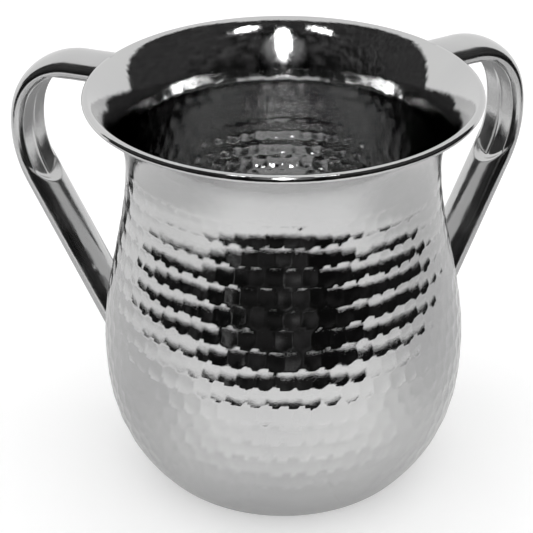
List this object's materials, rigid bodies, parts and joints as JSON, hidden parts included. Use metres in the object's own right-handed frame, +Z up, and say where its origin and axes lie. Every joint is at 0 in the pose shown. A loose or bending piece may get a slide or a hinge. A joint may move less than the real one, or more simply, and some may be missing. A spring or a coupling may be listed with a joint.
{
  "type": "washing cup",
  "caption": "Washing cup of hammered, polished steel with a rounded belly, waisted neck, flared lip and bent tube handles, for pouring water over the hands.",
  "frame": {"origin": "centre of the underside, on the surface that the cup stands on", "axes": "+Z up along the cup's axis, +X to the right handle's side square to the plane of symmetry, +Y to the rear, the side that both handles lean to"},
  "size_m": [0.1768, 0.125, 0.134],
  "materials": {
    "body_steel": "hammered stainless steel, polished to a mirror",
    "handle_steel": "smooth stainless steel tube, polished to a mirror"
  },
  "bodies": {
    "root": {"cup_body": "body_steel", "handle_right": "handle_steel", "handle_left": "handle_steel"}
  },
  "joints": []
}
